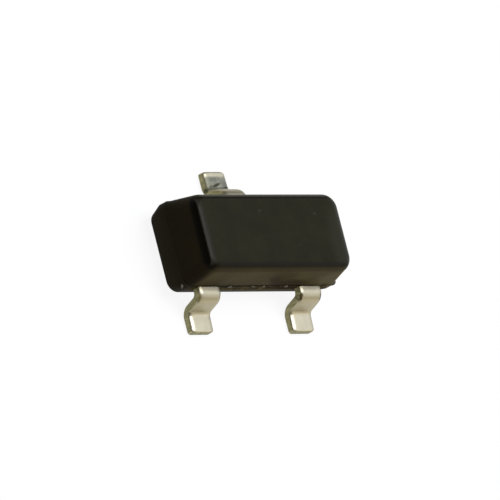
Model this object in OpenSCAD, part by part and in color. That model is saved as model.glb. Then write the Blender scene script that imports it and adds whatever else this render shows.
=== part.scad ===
// SOT-23 transistor: a moulded three-lead surface-mount package, in millimetres.
// X runs along the body, the two front leads point to -Y, and the soles stand on Z = 0.

/* [Body] */
// Length of the body at its parting land
body_length = 2.86; // [2.80:0.01:3.04]
// Width of the body at its parting land
body_width = 1.22; // [1.20:0.01:1.40]
// Height of the top face above the solder plane
body_top = 0.935; // [0.89:0.005:1.12]
// Gap between the body's underside and the solder plane
standoff = 0.07; // [0.02:0.01:0.10]
// Plan radius of the upright corners at the parting land
corner_radius = 0.11; // [0.06:0.01:0.16]
// Plan radius of the corners where the top edge starts to round over
top_corner_radius = 0.215; // [0.18:0.005:0.30]
// Plan radius of the corners where the underside's edge starts to round over
bottom_corner_radius = 0.16; // [0.10:0.01:0.25]
// Draft of the walls above the parting line, in degrees
upper_draft = 7; // [4:1:12]
// Draft of the walls below the parting land, in degrees
lower_draft = 11; // [5:1:14]
// Step by which the lower mould half is wider than the upper one
parting_ledge = 0.008; // [0.004:0.002:0.02]
// Radius of the edge round the top face
top_edge_radius = 0.14; // [0.08:0.01:0.16]
// Radius of the edge round the underside
bottom_edge_radius = 0.04; // [0.01:0.01:0.06]

/* [Leads] */
// Distance between the centre lines of the two front leads
lead_pitch = 1.90; // [1.78:0.01:2.04]
// Span from the front tips to the back tip
lead_span = 2.29; // [2.20:0.005:2.64]
// Width of each lead outside the body
lead_width = 0.41; // [0.30:0.01:0.50]
// Thickness of the lead strip
lead_thickness = 0.12; // [0.08:0.01:0.14]
// Height of the strip's top face where it leaves the body, which is the parting plane
lead_top = 0.42; // [0.40:0.005:0.54]
// Straight length of strip between the body and the shoulder bend
shoulder = 0.044; // [0.02:0.002:0.08]
// Inside radius of both bends
bend_radius = 0.06; // [0.04:0.01:0.08]
// Lean of the drop from upright, in degrees
drop_angle = 20; // [5:1:30]

/* [Lead frame inside the body] */
// Length of each front lead's bond post along the body
post_length = 0.56; // [0.45:0.01:0.66]
// Depth of each bond post across the body
post_depth = 0.20; // [0.15:0.01:0.24]
// Distance from the front wall to the bond posts
post_setback = 0.20; // [0.15:0.01:0.24]
// Length of the die pad along the body
pad_length = 0.90; // [0.70:0.01:1.00]
// Depth of the die pad across the body
pad_depth = 0.54; // [0.50:0.01:0.62]
// Distance from the back wall to the die pad
pad_setback = 0.23; // [0.18:0.01:0.28]
// Corner radius of the posts and the pad
frame_corner = 0.04; // [0.02:0.01:0.07]

/* [Die and bond wires] */
// Side of the square die
die_side = 0.36; // [0.30:0.01:0.42]
// Thickness of the die
die_thickness = 0.12; // [0.10:0.01:0.20]
// Thickness of the die attach layer
attach_thickness = 0.02; // [0.01:0.005:0.04]
// Width of the attach layer that shows round the die
attach_margin = 0.03; // [0.01:0.005:0.04]
// Distance between the two ball bonds on the die
bond_spacing = 0.18; // [0.14:0.01:0.22]
// Diameter of the ball and stitch bonds
bond_diameter = 0.09; // [0.07:0.01:0.11]
// Diameter of the bond wires
wire_diameter = 0.04; // [0.025:0.005:0.05]
// Rise of each wire loop above the straight line between its bonds
wire_rise = 0.20; // [0.15:0.01:0.25]

/* [Hidden] */

$fn = 48;

// Facets along each bend of a lead and each rounded edge of the body
arc_steps = 8;

// Facets round the turned corners that the body's walls are drawn over
hull_facets = 32;

half_length = body_length / 2;
half_width = body_width / 2;

// The land between the mould halves is as tall as the strip is thick
land_bottom = lead_top - lead_thickness;

bend_outside = bend_radius + lead_thickness;
foot_tip = lead_span / 2 - half_width;

post_x = lead_pitch / 2;
post_y = -half_width + post_setback + post_depth / 2;
pad_y = half_width - pad_setback - pad_depth / 2;

attach_side = die_side + 2 * attach_margin;
die_bottom = lead_top + attach_thickness;
die_top = die_bottom + die_thickness;

// A ball bond is pressed about as flat as the wire is thick, a stitch somewhat flatter
ball_height = wire_diameter;
stitch_height = 0.75 * wire_diameter;

function arc(centre, radius, from, to) = [
    for (i = [0:arc_steps])
        let (angle = from + (to - from) * i / arc_steps)
        centre + radius * [cos(angle), sin(angle)]
];

// Side view of a lead as [distance out from the wall, height]; inside is how far it runs into the body
function lead_profile(inside) =
    let (
        rise = [cos(drop_angle), sin(drop_angle)],
        shoulder_axis = [shoulder, lead_top - bend_outside],
        heel_z = lead_thickness + bend_radius,
        both_radii = bend_outside + bend_radius,
        drop = (shoulder_axis[1] - heel_z + both_radii * rise[1]) / rise[0],
        heel_axis = [shoulder + both_radii * rise[0] + drop * rise[1], heel_z]
    )
    concat(
        [[-inside, lead_top]],
        arc(shoulder_axis, bend_outside, 90, drop_angle),
        arc(heel_axis, bend_radius, 180 + drop_angle, 270),
        [[foot_tip, lead_thickness]],
        [[foot_tip, 0]],
        arc(heel_axis, bend_outside, 270, 180 + drop_angle),
        arc(shoulder_axis, bend_radius, drop_angle, 90),
        [[-inside, land_bottom]]
    );

function rounded_outline(length, depth, radius) =
    let (x = length / 2 - radius, y = depth / 2 - radius)
    concat(
        arc([x, y], radius, 0, 90),
        arc([-x, y], radius, 90, 180),
        arc([-x, -y], radius, 180, 270),
        arc([x, -y], radius, 270, 360)
    );

// Plate with the body's outline, set in from the edge of the land
module body_plate(inset, height) {
    linear_extrude(height)
        polygon(rounded_outline(body_length - 2 * inset, body_width - 2 * inset, corner_radius));
}

// The same turning in the four corners, with its axis set in from the edge of the land
module in_corners(inset) {
    for (x = [-1, 1], y = [-1, 1])
        translate([x * (half_length - inset), y * (half_width - inset), 0])
            rotate_extrude($fn = hull_facets)
                children();
}

// Upper mould half: walls with draft from the parting line to the rounded edge of the top face
module upper_half() {
    mouth_top = lead_top + parting_ledge;
    rim_z = body_top - top_edge_radius;
    rim_reach = top_corner_radius - top_edge_radius * cos(upper_draft);
    rim_inset = parting_ledge + (rim_z - mouth_top) * tan(upper_draft)
        + top_edge_radius / cos(upper_draft) + rim_reach;
    hull() {
        translate([0, 0, lead_top])
            body_plate(parting_ledge, parting_ledge);
        in_corners(rim_inset)
            polygon(concat([[0, mouth_top]], arc([rim_reach, rim_z], top_edge_radius, upper_draft, 90),
                [[0, body_top]]));
    }
}

// Lower mould half: the upright land, then walls with draft down to the rounded edge of the underside
module lower_half() {
    rim_z = standoff + bottom_edge_radius;
    rim_reach = bottom_corner_radius - bottom_edge_radius * cos(lower_draft);
    rim_inset = (land_bottom - rim_z) * tan(lower_draft)
        + bottom_edge_radius / cos(lower_draft) + rim_reach;
    hull() {
        translate([0, 0, land_bottom])
            body_plate(0, lead_thickness);
        in_corners(rim_inset)
            polygon(concat([[0, standoff]], arc([rim_reach, rim_z], bottom_edge_radius, -90, -lower_draft),
                [[0, land_bottom]]));
    }
}

// A bent strip that leaves the wall in the direction of turn
module lead_strip(inside, turn) {
    rotate([0, 0, turn])
        translate([half_width, 0, 0])
            rotate([90, 0, 0])
                linear_extrude(lead_width, center = true)
                    polygon(lead_profile(inside));
}

module frame_plate(length, depth) {
    translate([0, 0, land_bottom])
        linear_extrude(lead_thickness)
            polygon(rounded_outline(length, depth, frame_corner));
}

// side is -1 for the left lead and 1 for the right lead
module front_lead(side) {
    translate([side * post_x, 0, 0])
        lead_strip(post_setback + post_depth / 2, -90);
    translate([side * post_x, post_y, 0])
        frame_plate(post_length, post_depth);
}

// Ball bond on the die, a loop that is one arc of a circle, and a stitch on the bond post
module bond_wire(side) {
    ball = [side * bond_spacing / 2, pad_y];
    run = [side * post_x, post_y] - ball;
    reach = norm(run);
    ball_z = die_top + ball_height / 2;
    stitch_z = lead_top + stitch_height / 2;
    chord = [reach, stitch_z - ball_z];
    span = norm(chord);
    loop_radius = (span * span / 4 + wire_rise * wire_rise) / (2 * wire_rise);
    upward = [-chord[1], chord[0]] / span;
    loop_axis = [0, ball_z] + chord / 2 + upward * (wire_rise - loop_radius);
    ball_angle = atan2(ball_z - loop_axis[1], -loop_axis[0]);
    stitch_angle = atan2(stitch_z - loop_axis[1], reach - loop_axis[0]);

    translate([ball[0], ball[1], die_top])
        cylinder(h = ball_height, d = bond_diameter);
    translate([side * post_x, post_y, lead_top])
        cylinder(h = stitch_height, d = bond_diameter);
    translate([ball[0], ball[1], 0])
        rotate([0, 0, atan2(run[1], run[0])])
            translate([loop_axis[0], 0, loop_axis[1]])
                rotate([90, 0, 0])
                    rotate([0, 0, stitch_angle])
                        rotate_extrude(angle = ball_angle - stitch_angle)
                            translate([loop_radius, 0])
                                circle(d = wire_diameter);
}

module moulded_body() {
    color("#2d2b25")
        difference() {
            union() {
                upper_half();
                lower_half();
            }
            base_lead();
            emitter_lead();
            collector_lead();
            die_attach();
            die();
            base_wire();
            emitter_wire();
        }
}

module base_lead() {
    color("#c9c2aa") front_lead(-1);
}

module emitter_lead() {
    color("#c9c2aa") front_lead(1);
}

module collector_lead() {
    color("#b9b7a6") {
        lead_strip(pad_setback + pad_depth / 2, 90);
        translate([0, pad_y, 0])
            frame_plate(pad_length, pad_depth);
    }
}

module die_attach() {
    color("#a9a698")
        translate([-attach_side / 2, pad_y - attach_side / 2, lead_top])
            cube([attach_side, attach_side, attach_thickness]);
}

module die() {
    color("#5b6068")
        translate([-die_side / 2, pad_y - die_side / 2, die_bottom])
            cube([die_side, die_side, die_thickness]);
}

module base_wire() {
    color("#c8a24a") bond_wire(-1);
}

module emitter_wire() {
    color("#c8a24a") bond_wire(1);
}

moulded_body();
base_lead();
emitter_lead();
collector_lead();
die_attach();
die();
base_wire();
emitter_wire();
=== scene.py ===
import math
import random

import bmesh
import bpy
from mathutils import Matrix, Vector


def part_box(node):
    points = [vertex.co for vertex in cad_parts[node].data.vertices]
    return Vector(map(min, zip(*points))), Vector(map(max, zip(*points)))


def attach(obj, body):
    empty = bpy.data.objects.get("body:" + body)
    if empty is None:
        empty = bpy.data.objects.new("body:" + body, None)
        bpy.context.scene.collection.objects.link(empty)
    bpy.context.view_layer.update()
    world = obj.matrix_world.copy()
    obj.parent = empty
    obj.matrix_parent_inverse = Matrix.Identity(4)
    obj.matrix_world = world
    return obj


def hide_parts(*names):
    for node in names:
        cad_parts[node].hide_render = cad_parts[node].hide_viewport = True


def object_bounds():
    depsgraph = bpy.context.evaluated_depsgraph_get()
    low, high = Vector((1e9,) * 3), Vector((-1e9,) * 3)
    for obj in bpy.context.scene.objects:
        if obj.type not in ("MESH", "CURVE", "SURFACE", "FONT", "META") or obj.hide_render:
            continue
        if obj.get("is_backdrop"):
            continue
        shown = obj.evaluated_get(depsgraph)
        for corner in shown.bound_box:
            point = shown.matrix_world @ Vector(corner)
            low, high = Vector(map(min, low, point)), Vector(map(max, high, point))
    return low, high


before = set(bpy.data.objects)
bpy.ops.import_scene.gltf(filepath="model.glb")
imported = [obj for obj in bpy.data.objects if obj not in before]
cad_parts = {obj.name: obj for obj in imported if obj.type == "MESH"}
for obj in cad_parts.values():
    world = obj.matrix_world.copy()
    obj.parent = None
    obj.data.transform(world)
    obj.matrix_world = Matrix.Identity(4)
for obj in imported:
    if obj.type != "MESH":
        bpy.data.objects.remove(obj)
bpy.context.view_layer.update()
scene = bpy.context.scene
scene.view_settings.view_transform = "Standard"

millimetre = 0.001
mergeDistance = 0.0002  # in millimetres; points nearer than this are one
sharpAngle = math.radians(40)  # folds sharper than this stay crisp
flatWeight = 100  # large faces keep their shading beside rounded edges


# Forms are modelled in millimetres and turned into metres at the end
def finishPiece(shape, name, node, materials):
    bmesh.ops.remove_doubles(shape, verts=shape.verts, dist=mergeDistance)
    bmesh.ops.recalc_face_normals(shape, faces=shape.faces)
    for edge in shape.edges:
        edge.smooth = len(edge.link_faces) == 2 and edge.calc_face_angle() < sharpAngle
    for face in shape.faces:
        face.smooth = True
    bmesh.ops.scale(shape, vec=(millimetre,) * 3, verts=shape.verts)
    mesh = bpy.data.meshes.new(name)
    shape.to_mesh(mesh)
    shape.free()
    for material in materials:
        mesh.materials.append(material)
    piece = bpy.data.objects.new(name, mesh)
    scene.collection.objects.link(piece)
    weighted = piece.modifiers.new("flats stay flat", "WEIGHTED_NORMAL")
    weighted.weight = flatWeight
    weighted.keep_sharp = True
    if node:
        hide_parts(node)
    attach(piece, "root")


# sRGB hex to the linear colour that a shader socket takes
def linear(hexText):
    values = [int(hexText[i : i + 2], 16) / 255 for i in (1, 3, 5)]
    return tuple(v / 12.92 if v <= 0.04045 else ((v + 0.055) / 1.055) ** 2.4 for v in values) + (1.0,)


# Adds one node: settings are its properties, input values or ramp stops, links are sockets to join.
# Sockets that share a name, as on Math and Mix nodes, are given by number.
def addNode(tree, kind, settings=None, links=None):
    made = tree.nodes.new(kind)
    for key, value in (settings or {}).items():
        if key == "stops":
            for index, (place, colour) in enumerate(value):
                stop = made.color_ramp.elements[index] if index < 2 else made.color_ramp.elements.new(place)
                stop.position = place
                stop.color = linear(colour) if isinstance(colour, str) else (colour, colour, colour, 1.0)
        elif isinstance(key, str) and hasattr(made, key):
            setattr(made, key, value)
        else:
            made.inputs[key].default_value = value
    for key, source in (links or {}).items():
        tree.links.new(source, made.inputs[key])
    return made


# Starts a material, with object coordinates turned back into millimetres for its patterns
def newMaterial(name):
    material = bpy.data.materials.new(name)
    material.use_nodes = True
    tree = material.node_tree
    tree.nodes.clear()
    surface = addNode(tree, "ShaderNodeBsdfPrincipled")
    addNode(tree, "ShaderNodeOutputMaterial", links={"Surface": surface.outputs["BSDF"]})
    place = addNode(tree, "ShaderNodeTexCoord").outputs["Object"]
    scaled = addNode(tree, "ShaderNodeMapping", {"Scale": (1 / millimetre,) * 3}, {"Vector": place})
    return material, tree, surface, scaled.outputs["Vector"]


# Lays colours over a tone, each where its mask is white; a colour is a hex value or another tone
def layOver(tree, tone, layers):
    for mask, colour in layers:
        settings = {"data_type": "RGBA"}
        links = {0: mask, 6: tone}
        if isinstance(colour, str):
            settings[7] = linear(colour)
        else:
            links[7] = colour
        tone = addNode(tree, "ShaderNodeMix", settings, links).outputs[2]
    return tone


spotFade = 0.5  # a soft spot fades out over this outer share of its half size


# A soft spot at a place in millimetres: half sizes along its own axes, turned about the upright
def softSpot(tree, where, spot):
    placed = addNode(
        tree,
        "ShaderNodeMapping",
        {
            "vector_type": "TEXTURE",
            "Location": spot["place"],
            "Rotation": (0, 0, math.radians(spot.get("turn", 0))),
            "Scale": spot["half"],
        },
        {"Vector": where},
    ).outputs["Vector"]
    glow = addNode(tree, "ShaderNodeTexGradient", {"gradient_type": "SPHERICAL"}, {"Vector": placed})
    return addNode(
        tree,
        "ShaderNodeMapRange",
        {"From Min": 0.0, "From Max": spotFade, "To Min": 0.0, "To Max": spot["strength"]},
        {"Value": glow.outputs["Fac"]},
    ).outputs["Result"]


# Moulded epoxy: near-black filled resin; spark-eroded walls, a smoother rim, and a duller, paler top face.
# The sides that the leads leave carry a brown film of resin, patchy and palest on the parting land, and
# painted paler and warmer to stand for the light on those sides.
epoxyLook = {
    "wall": ("#1a1508", "#211b0a"),
    "top": ("#1b1907", "#23200c"),
    # film and painted light: the lead sides are paler and warmer, as lit sides are
    "filmAndLight": ("#41391f", "#4c4428"),
    "land": ("#2a2412", "#6b5e38"),
    # painted dark reflection along the rims of the ends
    "paintedRimReflection": "#0b0905",
    # painted highlight along the ends of the top face
    "paintedEndHighlight": "#2d2c26",
    "rubbed": "#2c281b",
    # painted shade: the dark line along the parting step on the lead sides
    "seam": "#0a0904",
    "scuff": "#3a382f",
    "thin": "#5c5338",
    "blotch": "#281909",
    "cloud": {"Scale": 3.0, "Detail": 5.0, "Roughness": 0.6},  # blotches a third of a millimetre across
    "grain": {"Scale": 45.0, "Detail": 3.0, "Roughness": 0.7},  # grains, drawn at 22 micrometres to show
    "specks": {"Scale": 22.0, "Detail": 3.0, "Roughness": 0.7},  # clots on the land, 45 micrometres across
    "grainShare": 0.5,  # how much the grains add to the clouds
    "spread": (0.55, 0.95),  # noise values at which a pair of tones starts and ends
    "landSpread": (0.45, 0.72),
    "relief": {"Strength": 0.35, "Distance": 0.004 * millimetre},
    "specular": 0.05,
    "topHalf": (1.306, 0.462),  # half length and half width of the paler top
    "topFade": (1.0, 0.2),  # its edge is crisp at the ends and five times softer along the sides
    "wallSlope": 0.1228,  # how far the upper walls lean in for each millimetre of height
    # places in millimetres where a finish starts and where it is full
    "topSoft": (0.006, -0.006),
    "endHighlightReach": (-0.12, -0.01),
    "filmStart": (0.57, 0.645),
    "filmLeft": (-1.32, -1.17),
    "filmEnd": (0.944, 0.79),
    "rimHeights": (0.8, 0.86),
    # heights where a finish starts, is full, is full still and ends
    "seamHeights": (0.408, 0.42, 0.43, 0.438),
    "landHeights": (0.28, 0.3, 0.405, 0.418),
    # heights, each with the film's strength or the roughness there
    "filmHeights": [(0.0, 0.74), (0.46, 0.74), (0.64, 1.0)],
    "rough": [(0.0, 0.64), (0.86, 0.64), (0.895, 0.26), (0.93, 0.26), (0.9346, 0.5)],
    "landRough": 0.95,
    "scuffsAndSheen": [
        {"place": (-0.184, 0.286, 0.935), "half": (0.035, 0.02, 0.02), "strength": 0.5},
        {"place": (0.838, 0.243, 0.935), "half": (0.04, 0.02, 0.02), "strength": 0.5},
        {"place": (0.42, -0.2, 0.935), "half": (0.05, 0.012, 0.02), "strength": 0.3, "turn": 35},
        # painted sheen: the broad pale patch over the top's right end
        {"place": (1.25, -0.2, 0.935), "half": (0.3, 0.7, 0.02), "strength": 0.25},
    ],
    "thinFilm": [
        {"place": (1.24, -0.58, 0.57), "half": (0.4, 0.25, 0.3), "strength": 0.7},
    ],
    # painted dark reflection: dark patches on the front face, beside the right front lead
    "frontShadePatches": [
        {"place": (0.08, -0.575, 0.65), "half": (0.1, 0.12, 0.1), "strength": 0.35},
        {"place": (0.13, -0.58, 0.6), "half": (0.11, 0.12, 0.11), "strength": 0.45},
        {"place": (0.18, -0.585, 0.55), "half": (0.11, 0.12, 0.11), "strength": 0.45},
        {"place": (0.23, -0.59, 0.5), "half": (0.12, 0.12, 0.12), "strength": 0.45},
        {"place": (0.29, -0.595, 0.45), "half": (0.12, 0.12, 0.12), "strength": 0.45},
        {"place": (0.52, -0.595, 0.48), "half": (0.36, 0.12, 0.16), "strength": 0.75},
        {"place": (0.46, -0.61, 0.34), "half": (0.3, 0.12, 0.12), "strength": 0.7},
        {"place": (1.18, -0.598, 0.44), "half": (0.06, 0.12, 0.06), "strength": 0.7},
        {"place": (0.2, -0.57, 0.67), "half": (0.38, 0.16, 0.24), "strength": 0.28},
    ],
}
epoxy, tree, surface, where = newMaterial("moulded epoxy")
noise = {}
for kind in ("cloud", "grain", "specks"):
    noise[kind] = addNode(tree, "ShaderNodeTexNoise", epoxyLook[kind], {"Vector": where}).outputs["Fac"]
mottle = addNode(
    tree,
    "ShaderNodeMath",
    {"operation": "MULTIPLY_ADD", 1: epoxyLook["grainShare"]},
    {0: noise["grain"], 2: noise["cloud"]},
).outputs["Value"]
tones = {}
for kind, source, spread in (
    ("wall", mottle, "spread"),
    ("top", mottle, "spread"),
    ("filmAndLight", mottle, "spread"),
    ("land", noise["specks"], "landSpread"),
):
    stops = list(zip(epoxyLook[spread], epoxyLook[kind]))
    tones[kind] = addNode(tree, "ShaderNodeValToRGB", {"stops": stops}, {"Fac": source}).outputs["Color"]
spot = addNode(tree, "ShaderNodeSeparateXYZ", links={"Vector": where})
height = spot.outputs["Z"]
fromMiddle = {}
beyondTop = {}
for axis, half, fade in zip("XY", epoxyLook["topHalf"], epoxyLook["topFade"]):
    fromMiddle[axis] = addNode(
        tree, "ShaderNodeMath", {"operation": "ABSOLUTE"}, {0: spot.outputs[axis]}
    ).outputs["Value"]
    beyondTop[axis] = addNode(
        tree, "ShaderNodeMath", {"operation": "MULTIPLY_ADD", 1: fade, 2: -half * fade}, {0: fromMiddle[axis]}
    ).outputs["Value"]
pastEdge = addNode(
    tree, "ShaderNodeMath", {"operation": "MAXIMUM"}, {0: beyondTop["X"], 1: beyondTop["Y"]}
).outputs["Value"]
# the walls' lean is added back, so that one number tells how near a point is to the lead sides
nearSide = addNode(
    tree,
    "ShaderNodeMath",
    {"operation": "MULTIPLY_ADD", 1: epoxyLook["wallSlope"]},
    {0: height, 2: fromMiddle["Y"]},
).outputs["Value"]
inTop, nearEnd, atSide, rightward, belowTop, onRim = (
    addNode(
        tree,
        "ShaderNodeMapRange",
        {"interpolation_type": "SMOOTHSTEP", "From Min": start, "From Max": end},
        {"Value": source},
    ).outputs["Result"]
    for (start, end), source in (
        (epoxyLook["topSoft"], pastEdge),
        (epoxyLook["endHighlightReach"], beyondTop["X"]),
        (epoxyLook["filmStart"], nearSide),
        (epoxyLook["filmLeft"], spot.outputs["X"]),
        (epoxyLook["filmEnd"], height),
        (epoxyLook["rimHeights"], height),
    )
)
# the film is weaker towards the parting line, so the sides are darker low down: painted shade
seam, land, filmByHeight, sheen = (
    addNode(tree, "ShaderNodeValToRGB", {"stops": stops}, {"Fac": height}).outputs["Color"]
    for stops in (
        list(zip(epoxyLook["seamHeights"], (0, 1, 1, 0))),
        list(zip(epoxyLook["landHeights"], (0, 1, 1, 0))),
        epoxyLook["filmHeights"],
        epoxyLook["rough"],
    )
)
side = addNode(tree, "ShaderNodeMath", {"operation": "MULTIPLY"}, {0: atSide, 1: rightward}).outputs["Value"]
onEnd = addNode(tree, "ShaderNodeMath", {"operation": "SUBTRACT", 0: 1.0}, {1: side}).outputs["Value"]
upperSide, etched, paintedEndHighlight, filmLand, seamShade, rimReflectionMask = (
    addNode(tree, "ShaderNodeMath", {"operation": "MULTIPLY"}, {0: first, 1: second}).outputs["Value"]
    for first, second in (
        (side, belowTop),
        (inTop, onRim),
        (inTop, nearEnd),
        (side, land),
        (side, seam),
        (onEnd, onRim),
    )
)
filmAndLight = addNode(
    tree, "ShaderNodeMath", {"operation": "MULTIPLY"}, {0: upperSide, 1: filmByHeight}
).outputs["Value"]
# the end rims carry a painted dark reflection and the top face's ends a painted highlight; on the ends the
# parting line is rubbed pale, and between the leads painted shade darkens it
layers = [
    (rimReflectionMask, epoxyLook["paintedRimReflection"]),
    (filmAndLight, tones["filmAndLight"]),
    (etched, tones["top"]),
    (filmLand, tones["land"]),
    (paintedEndHighlight, epoxyLook["paintedEndHighlight"]),
    (seam, epoxyLook["rubbed"]),
    (seamShade, epoxyLook["seam"]),
]
# marks stay on the face they belong to
for kind, colour, onFace in (
    ("scuffsAndSheen", "scuff", inTop),
    ("thinFilm", "thin", side),
    ("frontShadePatches", "blotch", side),
):
    for mark in epoxyLook[kind]:
        mask = addNode(
            tree, "ShaderNodeMath", {"operation": "MULTIPLY"}, {0: softSpot(tree, where, mark), 1: onFace}
        )
        layers.append((mask.outputs["Value"], epoxyLook[colour]))
tone = layOver(tree, tones["wall"], layers)
sheen = addNode(
    tree, "ShaderNodeMix", {"data_type": "FLOAT", 3: epoxyLook["landRough"]}, {0: filmLand, 2: sheen}
)
relief = addNode(tree, "ShaderNodeBump", epoxyLook["relief"], {"Height": noise["grain"]})
surface.inputs["Specular IOR Level"].default_value = epoxyLook["specular"]
tree.links.new(tone, surface.inputs["Base Color"])
tree.links.new(sheen.outputs[0], surface.inputs["Roughness"])
tree.links.new(relief.outputs["Normal"], surface.inputs["Normal"])

# Matte tin plate: a dull, slightly warm metal skin, clouded, with faint rolling lines along the strip.
# It is dull where the shoulder bends stretched it, and carries painted highlights on their left corners and
# on the feet.
# The tin plate on the back lead is the same skin with painted shade, grey where its foot starts, and
# scratched.
tinLook = {
    "tone": ("#a59d83", "#b0a88d"),
    "spread": (0.6, 1.0),
    "cloud": {"Scale": 7.0, "Detail": 4.0, "Roughness": 0.6},  # clouds a seventh of a millimetre across
    "line": {"Scale": 60.0, "Detail": 2.0},  # rolling lines, drawn at 17 micrometres so that they show
    "lineStretch": (1.0, 0.05, 0.05),
    "lineShare": 0.6,
    "relief": {"Strength": 0.25, "Distance": 0.003 * millimetre},
    "rough": {"From Min": 0.3, "From Max": 0.7, "To Min": 0.36, "To Max": 0.43},
    "stretched": "#968f76",
    "stretchedHeights": [(0.3, 0.0), (0.36, 0.4), (0.386, 1.0), (0.405, 1.0), (0.416, 0.0)],
    "bright": "#e2dfd0",
    # painted highlights on the shoulders' left corners, the feet's left edges and the back lead's tip
    "paintedHighlights": [
        {"place": (-1.12, -0.682, 0.41), "half": (0.046, 0.05, 0.045), "strength": 0.35},
        {"place": (0.775, -0.675, 0.41), "half": (0.036, 0.04, 0.04), "strength": 0.3},
        {"place": (-1.135, -1.035, 0.105), "half": (0.055, 0.15, 0.05), "strength": 0.35},
        {"place": (0.765, -1.035, 0.105), "half": (0.055, 0.15, 0.05), "strength": 0.35},
        {"place": (-0.18, 1.09, 0.105), "half": (0.04, 0.05, 0.05), "strength": 0.15},
    ],
    # painted shade: grey over the back lead's foot, where the body shades it; the foot is rougher there too
    "footShade": ("#6f7064", "#8f8d7c"),
    "footShadeSpread": (0.4, 0.62),
    "footShadeStart": (1.092, 1.045),
    "footShadeEnd": (0.2, 0.15),
    "footShadeRough": 0.62,
    "scratch": "#37362b",
    "scratches": [
        {"place": (-0.025, 0.944, 0.117), "half": (0.125, 0.026, 0.05), "turn": 19, "strength": 0.95},
        {"place": (0.146, 0.909, 0.118), "half": (0.045, 0.02, 0.05), "turn": 0, "strength": 0.9},
        {"place": (-0.13, 0.93, 0.118), "half": (0.05, 0.02, 0.05), "turn": 30, "strength": 0.6},
    ],
}
metals = {}
for name, shadePainted in (("matte tin plate", False), ("tin plate with painted shade", True)):
    metals[name], tree, surface, where = newMaterial(name)
    cloud = addNode(tree, "ShaderNodeTexNoise", tinLook["cloud"], {"Vector": where}).outputs["Fac"]
    drawn = addNode(tree, "ShaderNodeMapping", {"Scale": tinLook["lineStretch"]}, {"Vector": where})
    line = addNode(
        tree, "ShaderNodeTexNoise", tinLook["line"], {"Vector": drawn.outputs["Vector"]}
    ).outputs["Fac"]
    mottle = addNode(
        tree,
        "ShaderNodeMath",
        {"operation": "MULTIPLY_ADD", 1: tinLook["lineShare"]},
        {0: line, 2: cloud},
    ).outputs["Value"]
    stops = list(zip(tinLook["spread"], tinLook["tone"]))
    tone = addNode(tree, "ShaderNodeValToRGB", {"stops": stops}, {"Fac": mottle}).outputs["Color"]
    sheen = addNode(tree, "ShaderNodeMapRange", tinLook["rough"], {"Value": cloud}).outputs["Result"]
    spot = addNode(tree, "ShaderNodeSeparateXYZ", links={"Vector": where})
    stretched = addNode(
        tree, "ShaderNodeValToRGB", {"stops": tinLook["stretchedHeights"]}, {"Fac": spot.outputs["Z"]}
    ).outputs["Color"]
    layers = [(stretched, tinLook["stretched"])]
    if shadePainted:
        along, low = (
            addNode(
                tree,
                "ShaderNodeMapRange",
                {"interpolation_type": "SMOOTHSTEP", "From Min": start, "From Max": end},
                {"Value": source},
            ).outputs["Result"]
            for (start, end), source in (
                (tinLook["footShadeStart"], spot.outputs["Y"]),
                (tinLook["footShadeEnd"], spot.outputs["Z"]),
            )
        )
        onFoot = addNode(
            tree, "ShaderNodeMath", {"operation": "MULTIPLY"}, {0: along, 1: low}
        ).outputs["Value"]
        stops = list(zip(tinLook["footShadeSpread"], tinLook["footShade"]))
        footShade = addNode(tree, "ShaderNodeValToRGB", {"stops": stops}, {"Fac": cloud}).outputs["Color"]
        layers.append((onFoot, footShade))
        sheen = addNode(
            tree, "ShaderNodeMix", {"data_type": "FLOAT", 3: tinLook["footShadeRough"]}, {0: onFoot, 2: sheen}
        ).outputs[0]
    for kind, colour in (("paintedHighlights", "bright"), ("scratches", "scratch")):
        for mark in tinLook[kind]:
            layers.append((softSpot(tree, where, mark), tinLook[colour]))
    relief = addNode(tree, "ShaderNodeBump", tinLook["relief"], {"Height": line})
    surface.inputs["Metallic"].default_value = 1.0
    tree.links.new(layOver(tree, tone, layers), surface.inputs["Base Color"])
    tree.links.new(sheen, surface.inputs["Roughness"])
    tree.links.new(relief.outputs["Normal"], surface.inputs["Normal"])

# Streaked metals: colours, how the streaks stretch, streaks per millimetre, roughness and strength of relief.
# A sheared strip edge is darker and rougher than the faces, streaked across the thickness by the die.
# Torn alloy is the bare olive spot where a lead was cut free of its neighbours; the other cut alloy is
# browner, and painted darker as shade in its nick.
# Drawn gold wire is smooth, with hair lines along it; silver epoxy is a dull grey paste full of flakes.
streakedLooks = {
    "sheared strip edge": {
        "tone": ("#737050", "#9a9672"),
        "stretch": (1, 1, 0.12),
        "scale": 40,
        "rough": 0.5,
        "relief": 0.4,
        "metal": 1.0,
        # painted shade: a dark spot on the back lead's flank at its heel
        "heelShade": [{"place": (-0.205, 0.874, 0.08), "half": (0.06, 0.045, 0.06), "strength": 0.9}],
    },
    "torn alloy": {
        "tone": ("#7d733c", "#978c54"),
        "stretch": (1, 1, 0.3),
        "scale": 50,
        "rough": 0.7,
        "relief": 0.6,
        "metal": 0.6,
    },
    "cut alloy with painted shade": {
        "tone": ("#3f300c", "#5e4d1e"),
        "stretch": (1, 1, 0.3),
        "scale": 50,
        "rough": 0.7,
        "relief": 0.6,
        "metal": 0.4,
    },
    "drawn gold wire": {
        "tone": ("#d3a03c", "#e6bd62"),
        "stretch": (0.2, 1, 1),
        "scale": 60,
        "rough": 0.25,
        "relief": 0.2,
        "metal": 1.0,
    },
    "silver epoxy": {
        "tone": ("#8d8b82", "#b9b7ae"),
        "stretch": (1, 1, 1),
        "scale": 45,
        "rough": 0.55,
        "relief": 0.5,
        "metal": 0.8,
    },
}
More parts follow.
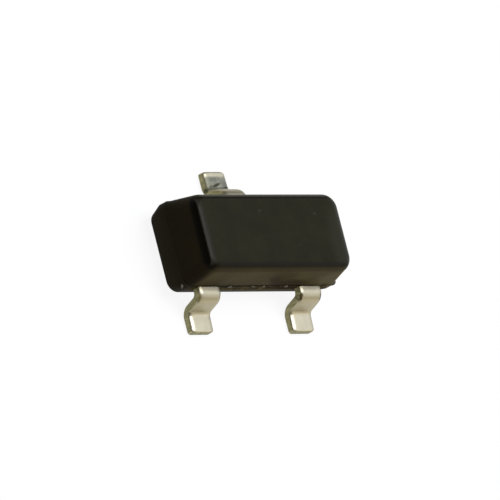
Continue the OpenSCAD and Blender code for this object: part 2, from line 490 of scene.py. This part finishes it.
# the streaks are 17 to 25 micrometres apart, coarser than real ones so that they show
streaks = {"Detail": 4.0, "Roughness": 0.65}
streakSpread = (0.35, 0.7)
streakDepth = 0.005 * millimetre
for name, look in streakedLooks.items():
    metals[name], tree, surface, where = newMaterial(name)
    drawn = addNode(tree, "ShaderNodeMapping", {"Scale": look["stretch"]}, {"Vector": where})
    streak = addNode(
        tree, "ShaderNodeTexNoise", {"Scale": look["scale"], **streaks}, {"Vector": drawn.outputs["Vector"]}
    ).outputs["Fac"]
    stops = list(zip(streakSpread, look["tone"]))
    tone = addNode(tree, "ShaderNodeValToRGB", {"stops": stops}, {"Fac": streak}).outputs["Color"]
    heelShade = [(softSpot(tree, where, mark), tinLook["scratch"]) for mark in look.get("heelShade", [])]
    relief = addNode(
        tree, "ShaderNodeBump", {"Strength": look["relief"], "Distance": streakDepth}, {"Height": streak}
    )
    surface.inputs["Metallic"].default_value = look["metal"]
    surface.inputs["Roughness"].default_value = look["rough"]
    tree.links.new(layOver(tree, tone, heelShade), surface.inputs["Base Color"])
    tree.links.new(relief.outputs["Normal"], surface.inputs["Normal"])

# Resin flash: thin crumbs along the parting line, paler than the moulding because light gets through
flashLook = {
    "tone": ("#2b2718", "#6a644e"),
    "spread": (0.35, 0.65),
    "speck": {"Scale": 30.0, "Detail": 3.0},  # specks 33 micrometres across
    "rough": 0.45,
}
flash, tree, surface, where = newMaterial("resin flash")
speck = addNode(tree, "ShaderNodeTexNoise", flashLook["speck"], {"Vector": where}).outputs["Fac"]
stops = list(zip(flashLook["spread"], flashLook["tone"]))
tone = addNode(tree, "ShaderNodeValToRGB", {"stops": stops}, {"Fac": speck})
surface.inputs["Roughness"].default_value = flashLook["rough"]
tree.links.new(tone.outputs["Color"], surface.inputs["Base Color"])

# Polished silicon: a dark blue-grey mirror with faint polishing haze
siliconLook = {
    "tone": ("#23262c", "#343840"),
    "spread": (0.35, 0.65),
    "haze": {"Scale": 12.0, "Detail": 4.0},  # patches about a quarter of the die's side
    "rough": {"To Min": 0.12, "To Max": 0.22},
    "ior": 3.9,
}
silicon, tree, surface, where = newMaterial("polished silicon")
haze = addNode(tree, "ShaderNodeTexNoise", siliconLook["haze"], {"Vector": where}).outputs["Fac"]
stops = list(zip(siliconLook["spread"], siliconLook["tone"]))
tone = addNode(tree, "ShaderNodeValToRGB", {"stops": stops}, {"Fac": haze})
sheen = addNode(tree, "ShaderNodeMapRange", siliconLook["rough"], {"Value": haze})
surface.inputs["IOR"].default_value = siliconLook["ior"]
tree.links.new(tone.outputs["Color"], surface.inputs["Base Color"])
tree.links.new(sheen.outputs["Result"], surface.inputs["Roughness"])

# The pieces inside the moulding keep their solids and get their real finish
innerFinish = {
    "die": silicon,
    "die_attach": metals["silver epoxy"],
    "base_wire": metals["drawn gold wire"],
    "emitter_wire": metals["drawn gold wire"],
}
for node, material in innerFinish.items():
    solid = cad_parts[node]
    solid.data.materials.clear()
    solid.data.materials.append(material)
print("materials made")

# The moulding is a stack of rounded levels with walls bridged between them
moulding = {
    "corner": 0.11,  # radius at the parting line
    "topCorner": 0.215,  # radius where a wall meets its rounded rim
    "bottomCorner": 0.16,
    "upperDraft": 7,
    "lowerDraft": 11,
    "ledge": 0.008,  # step between the halves
    "topRound": 0.14,
    "bottomRound": 0.04,
    "strip": 0.12,  # the land is as tall as the lead strip
    "cornerSegments": 10,
    "edgeSegments": 12,
}
bodyLow, bodyHigh = (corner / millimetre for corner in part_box("moulded_body"))
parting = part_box("base_lead")[1].z / millimetre
landBottom = parting - moulding["strip"]


# Rounds corners that lie in one face
def roundCorners(shape, corners, radius, segments):
    rounded = bmesh.ops.bevel(
        shape,
        geom=corners,
        offset=radius,
        offset_type="OFFSET",
        affect="VERTICES",
        segments=segments,
        profile=0.5,
        material=-1,
    )
    return rounded["verts"][0].link_faces[0]


# A level face with rounded corners round a middle
def addPlate(shape, length, depth, middle, radius, segments):
    corners = bmesh.ops.create_grid(shape, x_segments=1, y_segments=1, size=0.5)["verts"]
    bmesh.ops.scale(shape, vec=(length, depth, 1), verts=corners)
    bmesh.ops.translate(shape, vec=middle, verts=corners)
    return roundCorners(shape, corners, radius, segments)


# Inset, height and corner radius of each level of a rounded rim
def rimLevels(rimInset, rimHeight, reach, edge, start, end):
    levels = []
    for step in range(moulding["edgeSegments"] + 1):
        angle = math.radians(start + (end - start) * step / moulding["edgeSegments"])
        radius = reach + edge * math.cos(angle)
        levels.append((rimInset - radius, rimHeight + edge * math.sin(angle), radius))
    return levels


upperDraft, lowerDraft = math.radians(moulding["upperDraft"]), math.radians(moulding["lowerDraft"])
mouth = parting + moulding["ledge"]
topHeight = bodyHigh.z - moulding["topRound"]
topReach = moulding["topCorner"] - moulding["topRound"] * math.cos(upperDraft)
topInset = moulding["ledge"] + (topHeight - mouth) * math.tan(upperDraft)
topInset += moulding["topRound"] / math.cos(upperDraft) + topReach
bottomHeight = bodyLow.z + moulding["bottomRound"]
bottomReach = moulding["bottomCorner"] - moulding["bottomRound"] * math.cos(lowerDraft)
bottomInset = (landBottom - bottomHeight) * math.tan(lowerDraft)
bottomInset += moulding["bottomRound"] / math.cos(lowerDraft) + bottomReach
bottomAngles = (-90, -moulding["lowerDraft"])
topAngles = (moulding["upperDraft"], 90)
levels = rimLevels(bottomInset, bottomHeight, bottomReach, moulding["bottomRound"], *bottomAngles)
levels += [
    (0.0, landBottom, moulding["corner"]),
    (0.0, parting, moulding["corner"]),
    (moulding["ledge"], parting, moulding["corner"]),
    (moulding["ledge"], mouth, moulding["corner"]),
]
levels += rimLevels(topInset, topHeight, topReach, moulding["topRound"], *topAngles)
shape = bmesh.new()
below = None
for index, (inset, level, radius) in enumerate(levels):
    length, depth = 2 * (bodyHigh.x - inset), 2 * (bodyHigh.y - inset)
    face = addPlate(shape, length, depth, (0, 0, level), radius, moulding["cornerSegments"])
    edges = list(face.edges)
    # only the first and last levels stay closed
    if 0 < index < len(levels) - 1:
        bmesh.ops.delete(shape, geom=[face], context="FACES_ONLY")
    if below:
        bmesh.ops.bridge_loops(shape, edges=below + edges)
    below = edges
finishPiece(shape, "mouldedBody", "moulded_body", [epoxy])

# Crumbs of flash on the step at the parting line: large ones listed, small ones strewn along both sides
crumbs = {
    "large": [
        # place along the front, size
        (-0.569, 0.042),
        (-0.136, 0.03),
        (0.07, 0.026),
        (0.486, 0.038),
        (-1.16, 0.018),
        (1.28, 0.03),
    ],
    "small": 26,
    "smallSize": (0.005, 0.012),
    "reach": 1.25,
    "flat": (1.0, 0.4, 0.6),
    "rough": (0.75, 1.1),  # how far in or out a point may be pushed
    "chip": 0.044,
    "chipHeight": 0.36,
    "chipFlat": (1.0, 0.16, 0.4),
    "chipTilt": 45,
    "lip": 0.041,
    "lipFlat": (1.0, 1.0, 1.4),
    "lipRise": 0.005,
    "facets": 2,
    "seed": 23,
}
random.seed(crumbs["seed"])
shape = bmesh.new()
strewn = [(x, -1, size) for x, size in crumbs["large"]]
for index in range(crumbs["small"]):
    x = random.uniform(-crumbs["reach"], crumbs["reach"])
    size = random.uniform(*crumbs["smallSize"])
    strewn.append((x, -1 if index % 2 else 1, size))
places = [(Vector((x, way * bodyHigh.y, parting)), size, crumbs["flat"], 0, 0) for x, way, size in strewn]
# a chip of flash on the middle of the land's front left corner
cornerTurn = math.radians(45)
cornerX = bodyHigh.x - moulding["corner"] * (1 - math.cos(cornerTurn))
cornerY = bodyHigh.y - moulding["corner"] * (1 - math.sin(cornerTurn))
chipPlace = Vector((-cornerX, -cornerY, crumbs["chipHeight"]))
chipTilt = math.radians(crumbs["chipTilt"])
places.append((chipPlace, crumbs["chip"], crumbs["chipFlat"], chipTilt, -cornerTurn))
# a lip of flash on the front right corner of the parting line
lipInset = crumbs["lip"] * crumbs["rough"][1]
lipPlace = Vector((bodyHigh.x - lipInset, lipInset - bodyHigh.y, parting + crumbs["lipRise"]))
places.append((lipPlace, crumbs["lip"], crumbs["lipFlat"], 0, 0))
for place, size, flat, tilt, turn in places:
    made = bmesh.ops.create_icosphere(shape, subdivisions=crumbs["facets"], radius=size)["verts"]
    for vert in made:
        vert.co *= random.uniform(*crumbs["rough"])
    bmesh.ops.scale(shape, vec=flat, verts=made)
    turned = Matrix.Rotation(turn, 3, "Z") @ Matrix.Rotation(tilt, 3, "Y")
    bmesh.ops.rotate(shape, cent=(0, 0, 0), matrix=turned, verts=made)
    bmesh.ops.translate(shape, vec=place, verts=made)
finishPiece(shape, "partingFlash", None, [flash])
print("moulding made")

# Each lead is a rounded strip drawn out of the body, bent down, bent out again and cut off
lead = {
    "width": 0.41,
    "strip": 0.12,
    "shoulder": 0.044,  # straight stretch outside the wall
    "bend": 0.06,  # inside radius
    "bendSegments": 14,
    "lean": 20,  # of the drop, in degrees
    "upperEdge": 0.028,
    "lowerEdge": 0.012,
    "edgeSegments": 6,
    "roll": 2.8,  # the die rolls the edges over this much further across the strip than down it
    "tipRoll": 0.016,  # how far the upper edge of the tip rolls down
    "tipRound": 0.04,
    "tipSegments": 5,
    "tipDip": 3.0,  # slope of the foot's top, in degrees
    "clearOfHeel": 0.001,  # the foot starts this far past the heel bend
    "shearedNormal": 0.75,  # faces that look further sideways than this are sheared
    "nickDepth": 0.012,
    "nickHeight": 0.05,
    "nickAngles": (20, 52),  # round the shoulder bend, from upright
    "post": (0.56, 0.2),  # bond post and die pad, along the body and across it
    "pad": (0.9, 0.54),
    "plateCorner": 0.04,
    "plateSegments": 5,
}
upright = Vector((0, 0, 1))


# Draws a face out; the one it leaves behind stays only where it closes the start of the form
def drawOut(shape, face, move):
    startsForm = all(len(edge.link_faces) == 1 for edge in face.edges)
    made = bmesh.ops.extrude_face_region(shape, geom=[face])["geom"]
    bmesh.ops.translate(shape, vec=move, verts=[g for g in made if isinstance(g, bmesh.types.BMVert)])
    if not startsForm:
        bmesh.ops.delete(shape, geom=[face], context="FACES_ONLY")
    return next(g for g in made if isinstance(g, bmesh.types.BMFace))


def bendRound(shape, face, centre, degrees):
    made = bmesh.ops.spin(
        shape,
        geom=[face] + list(face.edges) + list(face.verts),
        cent=centre,
        axis=(1, 0, 0),
        angle=math.radians(degrees),
        steps=lead["bendSegments"],
    )["geom_last"]
    return next(g for g in made if isinstance(g, bmesh.types.BMFace))


# outward is 1 for a lead at the back and -1 for one in front
# nick is how far a lead's nicks reach in from its flanks, if it has any
def addLead(name, node, plateSize, outward, nick, materials):
    low, high = (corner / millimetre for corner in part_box(node))
    wall = bodyHigh.y
    innerEnd = low.y if outward > 0 else high.y
    plateX, plateY = (low.x + high.x) / 2, innerEnd + outward * plateSize[1] / 2
    inside = wall - outward * plateY
    reach = max(abs(low.y), abs(high.y)) - wall
    half = lead["width"] / 2
    middle = parting - lead["strip"] / 2
    # the strip's cross-section stands at its inner end and is stretched once its edges are round
    shape = bmesh.new()
    corners = bmesh.ops.create_grid(shape, x_segments=1, y_segments=1, size=0.5)["verts"]
    bmesh.ops.scale(shape, vec=(lead["width"] / lead["roll"], lead["strip"], 1), verts=corners)
    bmesh.ops.rotate(shape, cent=(0, 0, 0), matrix=Matrix.Rotation(math.pi / 2, 3, "X"), verts=corners)
    bmesh.ops.translate(shape, vec=(0, -inside, middle), verts=corners)
    for above, edge in ((True, lead["upperEdge"]), (False, lead["lowerEdge"])):
        chosen = [v for v in corners if v.is_valid and (v.co.z > middle) == above]
        face = roundCorners(shape, chosen, edge, lead["edgeSegments"])
    bmesh.ops.scale(shape, vec=(lead["roll"], 1, 1), verts=shape.verts)
    lean = math.radians(lead["lean"])
    outer, inner = lead["bend"] + lead["strip"], lead["bend"]
    shoulderZ, heelZ = parting - outer, lead["strip"] + inner
    drop = (shoulderZ - heelZ + (outer + inner) * math.sin(lean)) / math.cos(lean)
    heelY = lead["shoulder"] + (outer + inner) * math.cos(lean) + drop * math.sin(lean)
    face = drawOut(shape, face, (0, inside + lead["shoulder"], 0))
    face = bendRound(shape, face, (0, lead["shoulder"], shoulderZ), lead["lean"] - 90)
    face = drawOut(shape, face, (0, drop * math.sin(lean), -drop * math.cos(lean)))
    face = bendRound(shape, face, (0, heelY, heelZ), 90 - lead["lean"])
    # the tip's corners are rounded, and its upper edge rolls over, as it is drawn out to its end
    face = drawOut(shape, face, (0, reach - heelY - lead["tipRound"], 0))
    gone, wide, tall = 0.0, half, lead["strip"]
    for step in range(1, lead["tipSegments"] + 1):
        angle = math.pi / 2 * step / lead["tipSegments"]
        further = lead["tipRound"] * math.sin(angle)
        narrower = half - lead["tipRound"] * (1 - math.cos(angle))
        thinner = lead["strip"] - lead["tipRoll"] * (1 - math.cos(angle))
        face = drawOut(shape, face, (0, further - gone, 0))
        bmesh.ops.scale(shape, vec=(narrower / wide, 1, thinner / tall), verts=face.verts)
        gone, wide, tall = further, narrower, thinner
    # the foot is pressed a little thinner towards its tip
    footStart = heelY + lead["clearOfHeel"]
    footTop = [v for v in shape.verts if v.co.y > footStart and v.co.z > lead["strip"] / 2]
    dip = Matrix.Rotation(math.radians(-lead["tipDip"]), 3, "X")
    bmesh.ops.rotate(shape, cent=(0, heelY, lead["strip"]), matrix=dip, verts=footTop)
    bmesh.ops.recalc_face_normals(shape, faces=shape.faces)
    # the flanks and the cut end are sheared
    for face in shape.faces:
        atTip = face.calc_center_median().y > reach - lead["tipRound"]
        cutEnd = atTip and face.normal.y > lead["shearedNormal"]
        face.material_index = 1 if cutEnd or abs(face.normal.x) > lead["shearedNormal"] else 0
    # nicks on both flanks of the front leads, where the bar between them was cut away
    if nick:
        first, last = lead["nickAngles"]
        nickWall, nickStart = half - lead["nickDepth"], half - nick
        bendAxis = Vector((0, lead["shoulder"], shoulderZ))

        def inNick(point):
            arm = Vector((0, point.y, point.z)) - bendAxis
            bent = math.degrees(arm.angle(upright))
            beyond = arm.y > 0 and outer - lead["nickHeight"] < arm.length
            return beyond and first < bent < last and abs(point.x) > nickStart

        marked = [f for f in shape.faces if inNick(f.calc_center_median())]
        for vert in shape.verts:
            if inNick(vert.co):
                vert.co.x = max(-nickWall, min(nickWall, vert.co.x))
        for face in marked:
            face.material_index = 2
    turn = 0 if outward > 0 else math.pi
    bmesh.ops.translate(shape, vec=(0, wall, 0), verts=shape.verts)
    bmesh.ops.rotate(shape, cent=(0, 0, 0), matrix=Matrix.Rotation(turn, 3, "Z"), verts=shape.verts)
    bmesh.ops.translate(shape, vec=(plateX, 0, 0), verts=shape.verts)
    # the bond post or die pad at the inner end
    plateMiddle = (plateX, plateY, landBottom)
    plate = addPlate(shape, *plateSize, plateMiddle, lead["plateCorner"], lead["plateSegments"])
    drawOut(shape, plate, (0, 0, lead["strip"]))
    finishPiece(shape, name, node, materials)


edgeMetal = metals["sheared strip edge"]
baseMetals = [metals["matte tin plate"], edgeMetal, metals["torn alloy"]]
emitterMetals = [metals["matte tin plate"], edgeMetal, metals["cut alloy with painted shade"]]
collectorMetals = [metals["tin plate with painted shade"], edgeMetal]
baseNick, emitterNick = 0.024, 0.036
addLead("baseLead", "base_lead", lead["post"], -1, baseNick, baseMetals)
addLead("emitterLead", "emitter_lead", lead["post"], -1, emitterNick, emitterMetals)
addLead("collectorLead", "collector_lead", lead["pad"], 1, None, collectorMetals)
print("leads made")

# Light: a bright panel overhead, a broad cool one along the right and a weak warm one in front;
# sizes and distance are in metres
lights = {
    "overhead": {
        "toward": (0.12, 0.17, 0.98),
        "size": (0.025, 0.025),
        "radiance": 7.5,
        "colour": "#fffefa",
    },
    "right": {
        "toward": (0.7, 0.11, 0.72),
        "size": (0.06, 0.066),
        "radiance": 1.72,
        "colour": "#e1e9ff",
    },
    "front": {
        "toward": (0.62, -0.67, 0.4),
        "size": (0.05, 0.05),
        "radiance": 0.9,
        "colour": "#fff8e8",
    },
}
lightDistance = 0.05
for name, panel in lights.items():
    data = bpy.data.lights.new(name, "AREA")
    data.shape = "RECTANGLE"
    data.size, data.size_y = panel["size"]
    data.energy = math.pi * data.size * data.size_y * panel["radiance"]
    data.color = linear(panel["colour"])[:3]
    lamp = bpy.data.objects.new(name, data)
    toward = Vector(panel["toward"]).normalized()
    # each panel's width lies along the part
    along = Vector((1, 0, 0))
    along = (along - along.project(toward)).normalized()
    lamp.rotation_euler = Matrix((along, toward.cross(along), toward)).transposed().to_euler()
    lamp.location = toward * lightDistance
    lamp.visible_camera = False
    scene.collection.objects.link(lamp)

# Room: pale low down, like the sweep of a studio, and dim above
room = {"From Min": 0.05, "From Max": 0.12, "To Min": 1.0, "To Max": 0.16}
world = bpy.data.worlds.new("studio")
scene.world = world
world.use_nodes = True
tree = world.node_tree
tree.nodes.clear()
aim = addNode(tree, "ShaderNodeTexCoord")
slope = addNode(tree, "ShaderNodeSeparateXYZ", links={"Vector": aim.outputs["Generated"]})
pale = addNode(tree, "ShaderNodeMapRange", room, {"Value": slope.outputs["Z"]})
sky = addNode(tree, "ShaderNodeBackground", links={"Color": pale.outputs["Result"]})
addNode(tree, "ShaderNodeOutputWorld", links={"Surface": sky.outputs["Background"]})

# Floor: a pale bench; the camera and the metal see it as white, with the object's shadow on it.
# What they see is the glow plus the shade, and the pale tone is what throws light back at the object.
bench = {"pale": 0.7, "glow": 0.9, "shade": 0.11, "radius": 0.3, "segments": 96}
floorMaterial = bpy.data.materials.new("pale bench")
floorMaterial.use_nodes = True
tree = floorMaterial.node_tree
tree.nodes.clear()
path = addNode(tree, "ShaderNodeLightPath")
seen = path.outputs["Is Camera Ray"]
for ray in ("Is Glossy Ray", "Is Transmission Ray"):
    seen = addNode(
        tree, "ShaderNodeMath", {"operation": "MAXIMUM"}, {0: seen, 1: path.outputs[ray]}
    ).outputs["Value"]
matte, shade = (
    addNode(tree, "ShaderNodeBsdfDiffuse", {"Color": (bench[key],) * 3 + (1.0,)}).outputs["BSDF"]
    for key in ("pale", "shade")
)
glow = addNode(tree, "ShaderNodeEmission", {"Color": (1.0, 1.0, 1.0, 1.0), "Strength": bench["glow"]})
white = addNode(tree, "ShaderNodeAddShader", links={0: glow.outputs["Emission"], 1: shade})
mixed = addNode(tree, "ShaderNodeMixShader", links={0: seen, 1: matte, 2: white.outputs["Shader"]})
addNode(tree, "ShaderNodeOutputMaterial", links={"Surface": mixed.outputs["Shader"]})
shape = bmesh.new()
bmesh.ops.create_circle(shape, cap_ends=True, segments=bench["segments"], radius=bench["radius"])
floorMesh = bpy.data.meshes.new("floor")
shape.to_mesh(floorMesh)
shape.free()
floorMesh.materials.append(floorMaterial)
floor = bpy.data.objects.new("floor", floorMesh)
scene.collection.objects.link(floor)
floor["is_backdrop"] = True
print("light and floor made")

# Camera: long lens from above the left end, rolled so that the body lies level in the picture
view = {
    "azimuth": -71.08,
    "elevation": 42.125,
    "roll": 62.65,
    "aim": (-0.01452, -0.09118, 0.41965),  # in millimetres, as is the width of the picture
    "width": 6.7102,
    "distance": 0.2,
    "sensor": 36.0,
    "clip": (0.01, 1.0),
}
azimuth, elevation = math.radians(view["azimuth"]), math.radians(view["elevation"])
toward = Vector(
    (math.sin(azimuth) * math.cos(elevation), -math.cos(azimuth) * math.cos(elevation), math.sin(elevation))
)
lens = bpy.data.cameras.new("camera")
lens.sensor_width = view["sensor"]
lens.lens = lens.sensor_width * view["distance"] / (view["width"] * millimetre)
lens.clip_start, lens.clip_end = view["clip"]
camera = bpy.data.objects.new("camera", lens)
camera.location = Vector(view["aim"]) * millimetre + toward * view["distance"]
turned = toward.to_track_quat("Z", "Y").to_matrix() @ Matrix.Rotation(math.radians(view["roll"]), 3, "Z")
camera.rotation_euler = turned.to_euler()
scene.collection.objects.link(camera)
scene.camera = camera

low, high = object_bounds()
print("camera set")
